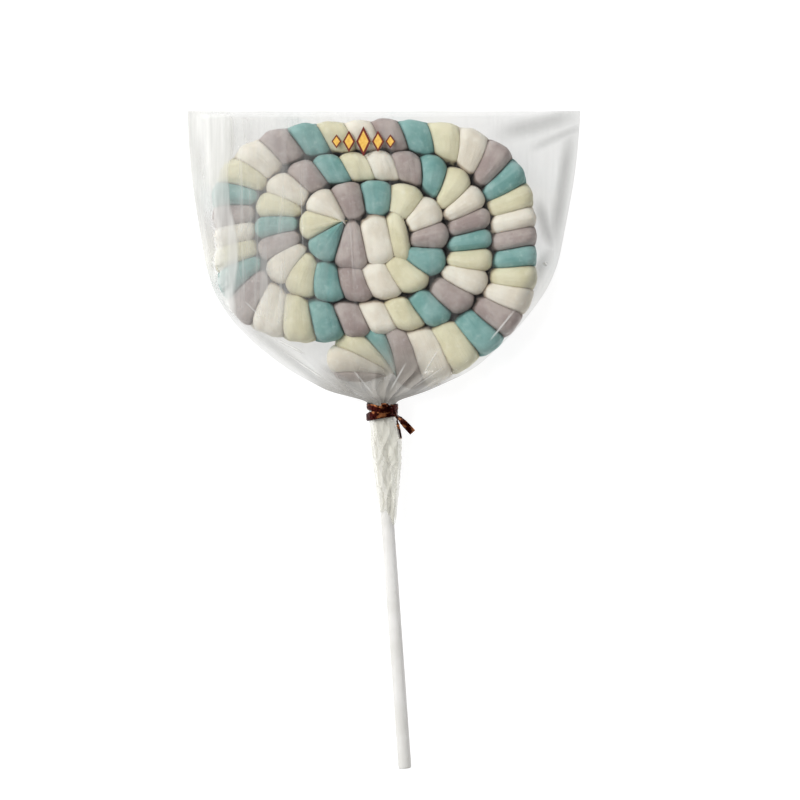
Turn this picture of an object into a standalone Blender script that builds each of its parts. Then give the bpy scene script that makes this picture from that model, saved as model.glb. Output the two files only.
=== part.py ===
"""Marshmallow lollipop in its bag.

A rope of four twisted marshmallow strands is coiled flat on a stick and sealed in a clear
film bag, which is gathered below the coil and closed with a foil twist tie. The lollipop
lies on its back: the coil faces +Z, the hem of the bag points along +Y, the stick along -Y.
The bag is one solid of its true outer form, with the coil standing out in relief.
"""

import math

import bmesh
import bpy
import numpy as np
from mathutils import Vector

MM = 0.001
GAP = 0.3 * MM              # left between pieces that touch

# Coil of rope, wound clockwise from its heart as seen from above; places along it are in turns
COIL_CENTRE = (-9.0 * MM, 87.9 * MM)
COIL_START, HOOK_START = 0.0, 3.2185
LEAD_IN = 0.25                          # the rope runs straight before this turn
FIRST_RADIUS = (8.1 * MM, 4.9 * MM)     # half width and half height of the spiral at its heart
TURN_PITCH = (18.8 * MM, 13.6 * MM)     # what each turn adds to them
SQUARENESS = (0.02, 0.031)              # bulge on the diagonals, at the heart and for each turn
HEART_LIFT = 4.95 * MM                  # the first turns lie this much above the centre
HEART_LIFT_TURNS = 0.8
ROPE_SAMPLES = 760

# Half widths of the rope, towards the outside and the inside of the coil
HEART_REACH = (10.4 * MM, 11.0 * MM)    # in the first turn
HEART_TURNS = ((0.3, 0.6), (0.5, 1.5))  # over these turns the rope comes to fill its pitch
OUTER_TURNS = (2.17, 2.29)              # over these turns its outer side becomes free
FREE_WIDTH = 1.07                       # of the free side, in half widths of the inner side
FREE_SWELLS = ((2.34, 0.09, 0.50), (2.48, 0.06, -0.16), (3.205, 0.05, 1.45))    # turn, spread, share

# Outer end of the rope, which bends away from the coil towards the neck
HOOK_RADIUS, HOOK_LENGTH = 13.0 * MM, 21.0 * MM
HOOK_REACH = (9.5 * MM, 18.5 * MM)
HOOK_BLEND = (-8.0 * MM, 12.6 * MM)     # from the start of the bend; over this run the rope widens
HOOK_SINK = 2.6 * MM
HOOK_SAMPLES = 26
END_ROUNDING = 7.0 * MM

# Section of the rope: four strands twisted together, which pass on top as slanting bands
ROPE_HALF_HEIGHT = 9.7 * MM
ROPE_SQUASH = 1.5                       # 1 is an ellipse, more is flatter on top
BAND_COUNT = (1.04, 4.25, 5.47)         # bands passed: at turn 0, for each turn, and its square
BAND_SWAY, SWAY_RATE, SWAY_START = 0.27, 0.61, -0.09    # in bands, waves a turn, and waves
HOOK_BAND = 5.2 * MM                    # length of a band in the bend
BAND_SLANT = 0.19                       # from the rope's middle to its side, in bands
SLANT_TURNS = (0.2, 1.6)                # the slant grows from none over these turns
BAND_GROOVE = 0.16                      # depth of the groove between bands, of the half height

# Bag: left and right edge at stations from the hem down to the open end, all in millimetres
BAG_EDGES = (
    (141.4, -84.6, 84.6),
    (116.0, -83.2, 82.6),
    (92.0, -79.6, 78.2),
    (72.0, -76.2, 74.4),
    (58.0, -71.0, 66.2),
    (44.0, -59.0, 54.0),
    (30.0, -41.0, 38.5),
    (21.0, -24.0, 18.5),
    (17.8, -11.4, 8.6),
    (16.6, -6.7, 5.0),
    (9.6, -6.5, 5.0),
    (4.6, -5.9, 7.0),
    (-2.0, -5.8, 7.7),
    (-14.0, -4.4, 7.3),
    (-26.0, -2.6, 6.0),
    (-34.0, -2.2, 5.2),
)
EDGE_ROUNDING = (1.2 * MM, 9.0 * MM)    # corners of the outline, at the neck and far above it
EDGE_ROUNDING_GROWTH = 0.25             # for each unit of length above the neck
BAG_MIDDLE = 10.0 * MM      # height of the side seams and of the stick's axis
SEAM_HALF = 0.6 * MM        # half the thickness of the flat film at hem and seams
FILM = 0.3 * MM             # film over the crown of the rope
FILM_SINK = 3.0 * MM        # how far the film is drawn into the grooves between turns
SINK_FADE = (1.1, 1.35)     # it fades out over these distances from the rope, in half widths
FOOT_CENTRE = (-3.7 * MM, 84.3 * MM)
FOOT_HALF = (60.0 * MM, 47.0 * MM)      # flat underside that the lollipop rests on
DRAPE_PASSES = 900
BAG_ROWS = 120
UPPER_COLUMNS = 110
UNDER_COLUMNS = 40
BAG_TRIANGLES = 8400

# Gathered neck and skirt of the bag
NECK_TOP = 16.6 * MM
NECK_HALF = 5.4 * MM
SKIRT_END_HALF = 4.0 * MM
SKIRT_END = -34.0 * MM
PLEATS = 9
PLEAT_DEPTH = 0.17
PLEAT_REACH = 24.0 * MM     # the pleats fade out this far above the neck
PLEAT_RELEASE = 9.0 * MM    # the tie holds the pleats flat; they open out over this length

# Stick
STICK_RADIUS = 2.8 * MM
STICK_END = -141.2 * MM
STICK_X = -1.0 * MM         # where its axis crosses Y = 0
STICK_LEAN = 0.0715         # sideways travel for each unit of length
STICK_SIDES = 32
STICK_ROUND = 0.6 * MM

# Twist tie: a flat foil strip wound round the neck, its ends twisted together into a knot
TIE_Y = 11.8 * MM
TIE_HALF = (6.6 * MM, 6.6 * MM)         # of the strip's middle, across and in height
TIE_STRIP = (3.0 * MM, 0.7 * MM)        # width and thickness
TIE_TURNS = 1
TIE_CLIMB = 3.3 * MM                    # rise of the strip in each turn
TIE_STEPS = 40                          # in each turn
TIE_START = math.radians(52.0)
KNOT_SIZE = (2.1 * MM, 4.0 * MM, 1.7 * MM)
KNOT_LIFT = 1.3 * MM
TAILS = ((-48.0, 13.0 * MM, 0.35), (-72.0, 9.5 * MM, 0.02))  # heading in degrees, length, droop
TAIL_STEPS = 8


def clear_scene():
    for item in list(bpy.data.objects):
        bpy.data.objects.remove(item, do_unlink=True)


def material(name, colour, roughness, metallic=0.0):
    made = bpy.data.materials.new(name)
    made.use_nodes = True
    shader = made.node_tree.nodes["Principled BSDF"]
    shader.inputs["Base Color"].default_value = (*colour, 1.0)
    shader.inputs["Roughness"].default_value = roughness
    shader.inputs["Metallic"].default_value = metallic
    made.diffuse_color = (*colour, 1.0)
    return made


def new_object(name, mesh_data, finish):
    mesh = bpy.data.meshes.new(name)
    mesh_data.to_mesh(mesh)
    mesh_data.free()
    made = bpy.data.objects.new(name, mesh)
    made.data.materials.append(finish)
    bpy.context.collection.objects.link(made)
    return made


# ---------------------------------------------------------------- the coiled rope

def smooth_step(value, low, high):
    share = np.clip((value - low) / (high - low), 0, 1)
    return share * share * (3 - 2 * share)


def spiral(turn):
    """Centreline of the curved part of the rope."""
    angle = 2 * math.pi * turn
    bulge = 1 + (SQUARENESS[0] + SQUARENESS[1] * turn) * (1 - np.cos(4 * angle)) / 2
    lift = HEART_LIFT * np.exp(-(turn / HEART_LIFT_TURNS) ** 2)
    x = COIL_CENTRE[0] + (FIRST_RADIUS[0] + TURN_PITCH[0] * turn) * bulge * np.cos(angle)
    y = COIL_CENTRE[1] - (FIRST_RADIUS[1] + TURN_PITCH[1] * turn) * bulge * np.sin(angle) + lift
    return np.stack([x, y], axis=-1)


def centreline(turn):
    """Centreline of the coil, whose inner end is straight."""
    step = 1e-4
    slope = (spiral(LEAD_IN + step) - spiral(LEAD_IN)) / step
    before = np.minimum(turn - LEAD_IN, 0.0)
    return spiral(np.maximum(turn, LEAD_IN)) + before[:, None] * slope


def coil_reach(turn, outward):
    """Half widths in the coil, outside and inside: half the way to the turns on either side."""
    reach = []
    for way, heart, turns in zip((1, -1), HEART_REACH, HEART_TURNS):
        pitch = way * np.sum((centreline(turn + way) - centreline(turn)) * outward, axis=1)
        own = smooth_step(turn, *turns)
        reach.append((1 - own) * heart + own * pitch / 2)
    swell = FREE_WIDTH + sum(share * np.exp(-((turn - middle) / spread) ** 2)
                             for middle, spread, share in FREE_SWELLS)
    reach[0] += smooth_step(turn, *OUTER_TURNS) * (reach[1] * swell - reach[0])
    return reach


def sample_rope():
    """Stations along the rope, each a row of every result."""
    turn = np.linspace(COIL_START, HOOK_START, ROPE_SAMPLES)
    place = centreline(turn)
    heading = np.gradient(place, axis=0)
    run = np.cumsum(np.linalg.norm(heading, axis=1))
    heading /= np.linalg.norm(heading, axis=1)[:, None]
    outward = np.stack([-heading[:, 1], heading[:, 0]], axis=1)

    travel = HOOK_LENGTH * np.arange(1, HOOK_SAMPLES + 1) / HOOK_SAMPLES
    sine, cosine = np.sin(travel / HOOK_RADIUS)[:, None], np.cos(travel / HOOK_RADIUS)[:, None]
    ahead, aside = heading[-1], outward[-1]
    bend = place[-1] + HOOK_RADIUS * (sine * ahead + (1 - cosine) * aside)
    place = np.concatenate([place, bend])
    heading = np.concatenate([heading, cosine * ahead + sine * aside])
    outward = np.concatenate([outward, cosine * aside - sine * ahead])
    turn = np.concatenate([turn, np.full(HOOK_SAMPLES, HOOK_START)])
    past_coil = np.concatenate([run - run[-1], travel])

    hooked = smooth_step(past_coil, *HOOK_BLEND)
    reach = [(1 - hooked) * coil + hooked * hook
             for coil, hook in zip(coil_reach(turn, outward), HOOK_REACH)]
    bands = BAND_COUNT[0] + BAND_COUNT[1] * turn + BAND_COUNT[2] * turn ** 2
    bands += BAND_SWAY * np.sin(2 * math.pi * (SWAY_RATE * turn + SWAY_START))
    bands += np.maximum(past_coil, 0) / HOOK_BAND
    slant = BAND_SLANT * smooth_step(turn, *SLANT_TURNS)
    return place, heading, outward, reach, bands, slant, HOOK_SINK * hooked, turn > OUTER_TURNS[1]


def rope_relief(points, rope):
    """Height of the rope's upper side over its axis, and how far each point lies in a groove."""
    place, heading, outward, reach, bands, slant, sink, free = rope
    offset = points[:, None, :] - place[None, :, :]
    along = np.sum(offset * heading, axis=2) / END_ROUNDING
    across = np.sum(offset * outward, axis=2)
    across /= np.where(across > 0, reach[0], reach[1])
    distance = np.hypot(along, across)
    nearest = np.argmin(distance, axis=1)
    rows = np.arange(len(points))
    distance, across = distance[rows, nearest], across[rows, nearest]
    cosine = np.minimum(distance, 1.0) ** ROPE_SQUASH
    band = bands[nearest] + slant[nearest] * across
    lobe = 1 - BAND_GROOVE * (1 - np.abs(np.cos(math.pi * band)))
    height = ROPE_HALF_HEIGHT * lobe * np.sqrt(1 - cosine ** 2) ** (1 / ROPE_SQUASH)
    fade = np.interp(distance, SINK_FADE, (1.0, 0.0))
    return height - sink[nearest], np.where(free[nearest] & (across > 0), 0.0, fade)


# ---------------------------------------------------------------- the bag

def bag_edges(y):
    """Left and right edge of the bag, smooth through the stations."""
    stations = np.array(BAG_EDGES) * MM
    station_y = stations[::-1, 0]
    reach = np.clip(EDGE_ROUNDING_GROWTH * (y - NECK_TOP), *EDGE_ROUNDING)
    nearby = y[:, None] + reach[:, None] * np.linspace(-1, 1, 9)[None, :]
    left = np.interp(nearby, station_y, stations[::-1, 1]).mean(axis=1)
    right = np.interp(nearby, station_y, stations[::-1, 2]).mean(axis=1)
    return left, right


def bag_grid(columns):
    """Plan of one side of the bag: rows from hem to open end, columns from edge to edge."""
    y = np.linspace(BAG_EDGES[0][0] * MM, SKIRT_END, BAG_ROWS + 1)
    left, right = bag_edges(y)
    share = np.linspace(-1, 1, columns + 1)
    share = (share + np.sin(math.pi / 2 * share)) / 2
    x = left[:, None] + (right - left)[:, None] * (1 + share[None, :]) / 2
    return x, np.repeat(y[:, None], columns + 1, axis=1), share


def drape(obstacle, free_rows):
    """Film stretched over an obstacle and held at the hem, the side seams and the neck."""
    film = obstacle.copy()
    inner = (slice(1, free_rows - 1), slice(1, -1))
    film_part = film[:free_rows]
    for _ in range(DRAPE_PASSES):
        down = (film_part[:-2, 1:-1] + film_part[2:, 1:-1]) / 2
        over = (film_part[1:-1, :-2] + film_part[1:-1, 2:]) / 2
        film[inner] = np.maximum(obstacle[inner], (down + over) / 2)
    return film


def neck_height(x, y, share):
    """Half thickness of the gathered film at the neck and in the skirt."""
    fall = np.clip((NECK_TOP - y) / (NECK_TOP - SKIRT_END), 0, 1)
    half = NECK_HALF + (SKIRT_END_HALF - NECK_HALF) * fall
    round_off = np.sqrt(np.maximum(1 - share[None, :] ** 2, 0))
    return np.where(y <= NECK_TOP, half * round_off, 0.0)


def pleats(y, share):
    """Factor that folds the gathered film."""
    above = np.clip(1 - (y - NECK_TOP) / PLEAT_REACH, 0, 1)
    freed = np.clip(np.abs(y - TIE_Y) / PLEAT_RELEASE, 0.15, 1)
    return 1 + PLEAT_DEPTH * above * freed * np.cos(math.pi * PLEATS * share[None, :])


def bag_side(columns, obstacle_of):
    """Plan and half thickness of one side of the bag over what fills it."""
    x, y, share = bag_grid(columns)
    filling, slack = obstacle_of(x, y)
    obstacle = np.maximum(np.maximum(filling, neck_height(x, y, share)), SEAM_HALF)
    obstacle[0, :] = SEAM_HALF
    obstacle[:, 0] = SEAM_HALF
    obstacle[:, -1] = SEAM_HALF
    free_rows = np.count_nonzero(y[:, 0] > NECK_TOP) + 1
    film = np.maximum(obstacle, drape(obstacle, free_rows) - slack)
    folded = np.clip(film * pleats(y, share), SEAM_HALF, BAG_MIDDLE)
    film[:, 1:-1] = folded[:, 1:-1]
    return x, y, film


def coil_obstacle(x, y):
    rope = sample_rope()
    height = np.zeros_like(x)
    slack = np.zeros_like(x)
    for row in range(len(x)):
        relief, groove = rope_relief(np.stack([x[row], y[row]], axis=1), rope)
        height[row] = np.where(relief > 0, relief + FILM, 0)
        slack[row] = FILM_SINK * groove
    return height, slack


def foot_obstacle(x, y):
    reach = ((x - FOOT_CENTRE[0]) / FOOT_HALF[0]) ** 2 + ((y - FOOT_CENTRE[1]) / FOOT_HALF[1]) ** 2
    return np.where(reach <= 1, BAG_MIDDLE, 0.0), 0.0


def make_bag(finish):
    upper = bag_side(UPPER_COLUMNS, coil_obstacle)
    under = bag_side(UNDER_COLUMNS, foot_obstacle)
    bag = bmesh.new()
    loops = []
    for row in range(BAG_ROWS + 1):
        over = [(x, y, BAG_MIDDLE + h) for x, y, h in zip(*(part[row] for part in upper))]
        below = [(x, y, BAG_MIDDLE - h) for x, y, h in zip(*(part[row] for part in under))]
        loops.append([bag.verts.new(place) for place in over + below[::-1]])
    for first, second in zip(loops, loops[1:]):
        for index in range(len(first)):
            following = (index + 1) % len(first)
            bag.faces.new((first[index], first[following], second[following], second[index]))
    bag.faces.new(loops[0])
    bag.faces.new(loops[-1])
    bmesh.ops.recalc_face_normals(bag, faces=bag.faces)
    bmesh.ops.triangulate(bag, faces=bag.faces)
    whole = len(bag.faces)
    made = new_object("bag", bag, finish)
    thin = made.modifiers.new("fewer_triangles", "DECIMATE")
    thin.ratio = BAG_TRIANGLES / whole
    return made


# ---------------------------------------------------------------- the stick

def stick_axis(y):
    return Vector((STICK_X - STICK_LEAN * y, y, BAG_MIDDLE))


def make_stick(finish):
    tilt_room = STICK_RADIUS * STICK_LEAN
    top = stick_axis(SKIRT_END - GAP - tilt_room)
    end = stick_axis(STICK_END)
    stick = bmesh.new()
    bmesh.ops.create_cone(stick, cap_ends=True, segments=STICK_SIDES, radius1=STICK_RADIUS,
                          radius2=STICK_RADIUS, depth=(end - top).length)
    rims = [edge for edge in stick.edges if abs(edge.verts[0].co.z - edge.verts[1].co.z) < GAP]
    bmesh.ops.bevel(stick, geom=rims, offset=STICK_ROUND, segments=3, affect="EDGES", profile=0.5)
    made = new_object("stick", stick, finish)
    for face in made.data.polygons:
        face.use_smooth = True
    made.location = (top + end) / 2
    made.rotation_mode = "QUATERNION"
    made.rotation_quaternion = (end - top).to_track_quat("Z", "X")
    return made


# ---------------------------------------------------------------- the twist tie

def strip(path, widths, normals):
    """Closed flat strip along a path; each station has a width direction and a normal."""
    made = bmesh.new()
    half_width, half_thick = TIE_STRIP[0] / 2, TIE_STRIP[1] / 2
    loops = []
    for place, width, normal in zip(path, widths, normals):
        corners = [(-1, -1), (1, -1), (1, 1), (-1, 1)]
        loops.append([made.verts.new(place + width * half_width * a + normal * half_thick * b)
                      for a, b in corners])
    for first, second in zip(loops, loops[1:]):
        for index in range(4):
            following = (index + 1) % 4
            made.faces.new((first[index], first[following], second[following], second[index]))
    made.faces.new(loops[0])
    made.faces.new(loops[-1])
    bmesh.ops.recalc_face_normals(made, faces=made.faces)
    return made


def tie_centre():
    left, right = bag_edges(np.array([TIE_Y]))
    return Vector(((left[0] + right[0]) / 2, TIE_Y, BAG_MIDDLE))


def wound_strip():
    path, widths, normals = [], [], []
    middle = tie_centre()
    for step in range(TIE_TURNS * TIE_STEPS + 1):
        turn = step / TIE_STEPS
        angle = TIE_START + 2 * math.pi * turn
        rise = TIE_CLIMB * (turn - TIE_TURNS / 2)
        radial = Vector((math.cos(angle) / TIE_HALF[0], 0, math.sin(angle) / TIE_HALF[1]))
        path.append(middle + Vector((TIE_HALF[0] * math.cos(angle), rise,
                                     TIE_HALF[1] * math.sin(angle))))
        widths.append(Vector((0, 1, 0)))
        normals.append(radial.normalized())
    return strip(path, widths, normals)


def knot_place():
    return tie_centre() + Vector((TIE_HALF[0] * math.cos(TIE_START), 0,
                                  TIE_HALF[1] * math.sin(TIE_START) + KNOT_LIFT))


def tail_strip(heading, length, droop):
    angle = math.radians(heading)
    forward = Vector((math.cos(angle), math.sin(angle), 0))
    sideways = Vector((-math.sin(angle), math.cos(angle), 0))
    start = knot_place()
    path, normals = [], []
    for step in range(TAIL_STEPS + 1):
        share = step / TAIL_STEPS
        drop = droop * length * share ** 2
        path.append(start + forward * length * share - Vector((0, 0, drop)))
        normals.append((Vector((0, 0, 1)) + forward * 2 * droop * share).normalized())
    return strip(path, [sideways] * len(path), normals)


def make_tie(finish):
    tie = new_object("tie", wound_strip(), finish)
    knot = bmesh.new()
    bmesh.ops.create_icosphere(knot, subdivisions=3, radius=1.0)
    bmesh.ops.scale(knot, vec=KNOT_SIZE, verts=knot.verts)
    bmesh.ops.translate(knot, vec=knot_place(), verts=knot.verts)
    additions = [new_object("tie_knot", knot, finish)]
    for number, tail in enumerate(TAILS):
        additions.append(new_object(f"tie_tail_{number}", tail_strip(*tail), finish))
    for addition in additions:
        addition.hide_render = True
        addition.display_type = "WIRE"
        joined = tie.modifiers.new(addition.name, "BOOLEAN")
        joined.operation = "UNION"
        joined.solver = "EXACT"
        joined.object = addition
    return tie


def main():
    clear_scene()
    film = material("film", (0.80, 0.78, 0.74), 0.15)
    white_plastic = material("white_plastic", (0.72, 0.71, 0.69), 0.45)
    copper_foil = material("copper_foil", (0.45, 0.16, 0.06), 0.25, 1.0)
    make_bag(film)
    make_stick(white_plastic)
    make_tie(copper_foil)


main()
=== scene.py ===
"""Looks of the marshmallow lollipop: four twisted strands in a clear tied bag, on a white stick."""

import math

import bpy
import numpy as np
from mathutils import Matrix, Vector


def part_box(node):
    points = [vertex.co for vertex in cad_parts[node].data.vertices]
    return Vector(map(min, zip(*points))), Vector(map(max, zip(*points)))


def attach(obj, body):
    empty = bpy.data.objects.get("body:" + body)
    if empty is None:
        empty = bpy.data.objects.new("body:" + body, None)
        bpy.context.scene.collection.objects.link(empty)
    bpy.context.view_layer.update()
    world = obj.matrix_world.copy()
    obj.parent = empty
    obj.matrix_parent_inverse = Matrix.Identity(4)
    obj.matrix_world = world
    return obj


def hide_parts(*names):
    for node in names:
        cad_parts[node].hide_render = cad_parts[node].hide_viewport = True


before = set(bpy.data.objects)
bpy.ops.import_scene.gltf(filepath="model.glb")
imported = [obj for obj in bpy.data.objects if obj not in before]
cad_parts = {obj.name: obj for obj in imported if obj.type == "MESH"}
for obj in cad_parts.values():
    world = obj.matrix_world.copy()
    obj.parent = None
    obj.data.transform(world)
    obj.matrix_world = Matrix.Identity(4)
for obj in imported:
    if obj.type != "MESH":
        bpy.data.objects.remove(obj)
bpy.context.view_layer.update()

MM = 0.001
BODY = "root"

# Coil of rope: places along it are in turns, wound clockwise from its heart as seen from above
COIL_CENTRE = (-9.0 * MM, 87.9 * MM)
COIL_START, HOOK_START = 0.0, 3.2185
LEAD_IN = 0.25
FIRST_RADIUS = (8.1 * MM, 4.9 * MM)
TURN_PITCH = (18.8 * MM, 13.6 * MM)
SQUARENESS = (0.02, 0.031)  # bulge on the diagonals, at the heart and for each turn
HEART_LIFT, HEART_LIFT_TURNS = 4.95 * MM, 0.8
HEART_REACH = (10.4 * MM, 11.0 * MM)  # half widths of the first turn, outside and inside
HEART_TURNS = ((0.3, 0.6), (0.5, 1.5))  # over these turns they give way to the coil's own
OUTER_TURN, OUTER_BLEND = 2.17, 0.12  # from here on, after this change, no turn lies outside
FREE_WIDTH = 1.07  # half width on that free side, of the inner side's
FREE_SWELLS = ((2.34, 0.09, 0.50), (2.48, 0.06, -0.16), (3.205, 0.05, 1.45))  # turn, spread, share
HOOK_RADIUS, HOOK_LENGTH = 13.0 * MM, 21.0 * MM  # the rope's end bends towards the neck
HOOK_BLEND = (-8.0 * MM, 0.6 * HOOK_LENGTH)  # the section changes here, from the bend's start
HOOK_SINK = 2.6 * MM  # how far the end lies below the coil
HOOK_REACH = (9.5 * MM, 18.5 * MM)  # half widths of the end, outside and inside
HOOK_BAND = 5.2 * MM  # the strands are packed closer in the bend
SPINE_SAMPLES = 6000  # for measuring the coil's length

# Section of the rope
ROPE_HALF_HEIGHT = 9.45 * MM
ROPE_SQUASH = 1.5
ROPE_OVERLAP = (1.08, 1.18)  # outside and inside: turns press into each other
LEAN = 1.3 * MM  # each turn lies over the inner side of the next one
STRANDS = ("teal", "yellow", "white", "lilac")  # in the order in which they come up
BAND_COUNT = (1.04, 4.25, 5.47)  # bands passed: at turn 0, for each turn, and its square
BAND_SWAY, SWAY_RATE, SWAY_START = 0.27, 0.61, -0.09  # in bands, waves a turn, and waves
BAND_LENGTH = 9.6 * MM
BAND_SLANT, SLANT_SWAY = 0.19, 0.05  # from the rope's middle to its side, in bands
SLANT_TURNS = (0.2, 1.6)  # the slant grows from none over these turns
GROOVES = (0.24, 0.15, 0.20, 0.30)  # after each strand on top, in shares of the half height
SIDE_GROOVES = (0.30, 0.08)  # at the outer and the inner ends of the bands
TUCK_TURNS = (0.4, 0.9)  # from here on the inner ends are tucked under
UNDER_GROOVE, UNDER_WIDENING = 0.10, 0.16
UNDERSIDE = 0.45 * MM  # the rope lies flat on the bag here
BAND_EDGE = 0.994  # leaves a fine gap between strands
INNER_WALL = (0.55, 0.4, 0.55)  # how far out a strand's three inner points lie
STATION = 0.5 * MM  # spacing of the stations along the rope
RIM_STEPS = 66  # points round the rope's section
RIM_SAMPLES = 4001  # for measuring the rim
BAND_POINTS = 19
SPARE_LAP = 0.8  # of a strand beyond each end, which is cut off
STRAND_LAP = 76.0 * MM  # length of a strand in one lap
TIP_ROUNDING = (3.5 * MM, 7.0 * MM)  # at the heart and at the outer end
TIP_POWER, TIP_LEAST = 2.4, 0.02

# Unevenness of the rope: seed, amount and length of its features
UNEVEN_PLACE = (3, 0.35 * MM, 45 * MM)
UNEVEN_HEIGHT = (5, 0.018, 30 * MM)
UNEVEN_WIDTH = (7, 0.02, 26 * MM)
UNEVEN_BANDS = (40, 0.026, 11 * MM)
UNEVEN_GROOVES = (50, 0.35, 90 * MM)

TONES = {  # a strand's own colour, where it is pale, where it is deep, and its painted shade in the grooves
    "teal": ((0.285, 0.485, 0.465), (0.46, 0.63, 0.61), (0.18, 0.37, 0.35), (0.07, 0.15, 0.14)),
    "yellow": ((0.80, 0.765, 0.565), (0.87, 0.845, 0.70), (0.70, 0.66, 0.46), (0.44, 0.38, 0.24)),
    "white": ((0.88, 0.84, 0.74), (0.92, 0.90, 0.83), (0.78, 0.72, 0.61), (0.48, 0.40, 0.31)),
    "lilac": ((0.50, 0.435, 0.41), (0.62, 0.56, 0.53), (0.37, 0.30, 0.285), (0.19, 0.15, 0.135)),
}
CREVICE_SHADE = (0.014, 0.010, 0.007)  # painted shade, near-black deep in the crevices between two turns

BAG_LOW, BAG_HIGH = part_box("bag")
STICK_LOW, STICK_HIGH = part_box("stick")
MIDDLE = (STICK_LOW.z + STICK_HIGH.z) / 2  # height of the stick's axis and of the side seams
UPWARD = (0.0, 0.0, 1.0)
WHITE = (1.0, 1.0, 1.0)


# ------------------------ helpers

def wander(x, seed, length):
    """Smooth uneven wandering between about -1 and 1, with features of the given length."""
    draw = np.random.default_rng(seed)
    total = np.zeros_like(x)
    for octave in range(4):
        frequency = (0.5 + 0.4 * octave + 0.3 * draw.random()) / length
        total += np.sin(math.tau * (frequency * x + draw.random()))
    return total / 3


def uneven(x, rule, number=0):
    """Wandering by a rule of seed, amount and length; number picks one of a row of seeds."""
    seed, amount, length = rule
    return amount * wander(x, seed + number, length)


def smooth_step(x, low, high):
    """0 up to low, 1 from high on, and a smooth change between them."""
    share = np.clip((x - low) / (high - low), 0, 1)
    return share * share * (3 - 2 * share)


def signed_power(value, power):
    return np.sign(value) * np.abs(value) ** power


def new_piece(name, vertices, faces, finish, node=None):
    """A smooth-shaded mesh that rides on the body and may stand for a CAD node."""
    mesh = bpy.data.meshes.new(name)
    mesh.from_pydata([tuple(v) for v in vertices], [], [tuple(f) for f in faces])
    mesh.validate()
    mesh.polygons.foreach_set("use_smooth", [True] * len(mesh.polygons))
    mesh.materials.append(finish)
    piece = bpy.data.objects.new(name, mesh)
    bpy.context.collection.objects.link(piece)
    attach(piece, BODY)
    if node:
        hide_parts(node)
    return piece


def grid_faces(rows, columns, closed=False, offset=0):
    """Quads between rows of points; closed joins each row's end to its start."""
    faces = []
    last = columns if closed else columns - 1
    for row in range(rows - 1):
        for column in range(last):
            following = (column + 1) % columns
            a, b = offset + row * columns + column, offset + row * columns + following
            faces.append((a, b, b + columns, a + columns))
    return faces


def tube_faces(rows, columns, offset=0):
    """Faces of a tube between rings of points, closed flat at both ends."""
    faces = grid_faces(rows, columns, closed=True, offset=offset)
    end = offset + rows * columns
    faces.append(tuple(range(offset, offset + columns))[::-1])
    faces.append(tuple(range(end - columns, end)))
    return faces


def add_uv(piece, name, values):
    """Give every corner of a piece the pair of values of its vertex."""
    corner = np.empty(len(piece.data.loops), dtype=np.int32)
    piece.data.loops.foreach_get("vertex_index", corner)
    layer = piece.data.uv_layers.new(name=name)
    layer.data.foreach_set("uv", values.reshape(-1, 2)[corner].ravel())


# ------------------------ materials

class Nodes:
    """Short way to build the node tree of a material or a world."""

    def __init__(self, owner, output="OutputMaterial"):
        self.owner = owner
        owner.use_nodes = True
        self.tree = owner.node_tree
        self.tree.nodes.clear()
        self.output = self.add(output)

    def add(self, kind, inputs=None, **settings):
        node = self.tree.nodes.new("ShaderNode" + kind)
        for key, value in settings.items():
            setattr(node, key, value)
        for key, value in (inputs or {}).items():
            self.feed(node.inputs[key], value)
        return node

    def feed(self, socket, value):
        if isinstance(value, bpy.types.NodeSocket):
            self.tree.links.new(value, socket)
        else:
            socket.default_value = (*value, 1.0) if socket.type == "RGBA" else value

    def place(self):
        return self.add("TexCoord").outputs["Object"]

    def uv(self, name):
        return self.add("UVMap", uv_map=name).outputs["UV"]

    def split(self, vector):
        return self.add("SeparateXYZ", {"Vector": vector}).outputs

    def math(self, operation, a, b=0.0, clamp=False):
        node = self.add("Math", {0: a, 1: b}, operation=operation, use_clamp=clamp)
        return node.outputs[0]

    def times(self, a, b, clamp=False):
        return self.math("MULTIPLY", a, b, clamp)

    def noise(self, coordinates, scale, detail=3.0, roughness=0.5, distortion=0.0):
        node = self.add("TexNoise", {"Vector": coordinates, "Scale": scale,
                        "Detail": detail, "Roughness": roughness, "Distortion": distortion})
        return node.outputs["Fac"]

    def ramp(self, value, low, high, low_result=0.0, high_result=1.0):
        node = self.add("MapRange", {"Value": value, "From Min": low, "From Max": high,
                        "To Min": low_result, "To Max": high_result},
                        interpolation_type="SMOOTHSTEP")
        return node.outputs["Result"]

    def mix_colour(self, share, first, second):
        node = self.add("Mix", {"Factor": share, "A": first, "B": second}, data_type="RGBA")
        return [socket for socket in node.outputs if socket.type == "RGBA"][0]

    def scaled(self, coordinates, scale):
        node = self.add("Mapping", {"Vector": coordinates, "Scale": scale})
        return node.outputs["Vector"]

    def dot(self, coordinates, direction):
        node = self.add("VectorMath", {0: coordinates, 1: direction},
                        operation="DOT_PRODUCT")
        return node.outputs["Value"]

    def bump(self, height, strength, distance, normal=None):
        inputs = {"Height": height, "Strength": strength, "Distance": distance}
        if normal:
            inputs["Normal"] = normal
        return self.add("Bump", inputs).outputs["Normal"]

    def haze(self, shader, share, tone):
        """A shader with a share of matt haze over it."""
        matt = self.add("BsdfDiffuse", {"Color": tone})
        return self.mix_shader(share, shader, matt.outputs[0])

    def mix_shader(self, share, first, second):
        return self.add("MixShader", {"Fac": share, 1: first, 2: second}).outputs[0]

    def surface(self, shader):
        self.tree.links.new(shader, self.output.inputs["Surface"])
        return self.owner

    def principled(self, inputs):
        return self.surface(self.add("BsdfPrincipled", inputs).outputs["BSDF"])


def new_material(name):
    return Nodes(bpy.data.materials.new(name))


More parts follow.
